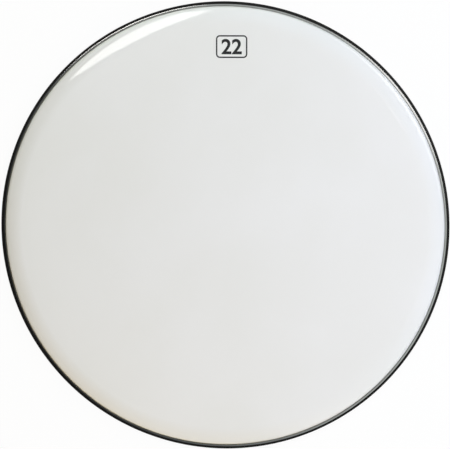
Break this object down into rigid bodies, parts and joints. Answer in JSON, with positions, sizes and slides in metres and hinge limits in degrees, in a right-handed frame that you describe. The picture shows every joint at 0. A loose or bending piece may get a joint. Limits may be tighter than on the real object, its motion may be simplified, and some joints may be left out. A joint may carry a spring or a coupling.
{
  "type": "bass drum head",
  "caption": "Smooth white bass drum head: a thin formed film with a crowned collar, locked by cured resin in a rolled aluminium channel hoop that slips over the drum shell.",
  "frame": {"origin": "middle of the hoop's underside, on the head's axis", "axes": "+Z along the axis towards the playing side, +Y towards the printed size mark"},
  "size_m": [0.576, 0.576, 0.019],
  "materials": {
    "film": "smooth gloss",
    "hoop": "mill, drawn",
    "resin": "cured, satin"
  },
  "bodies": {
    "root": {"film": "film", "channel_hoop": "hoop", "resin_fill": "resin"}
  },
  "joints": []
}
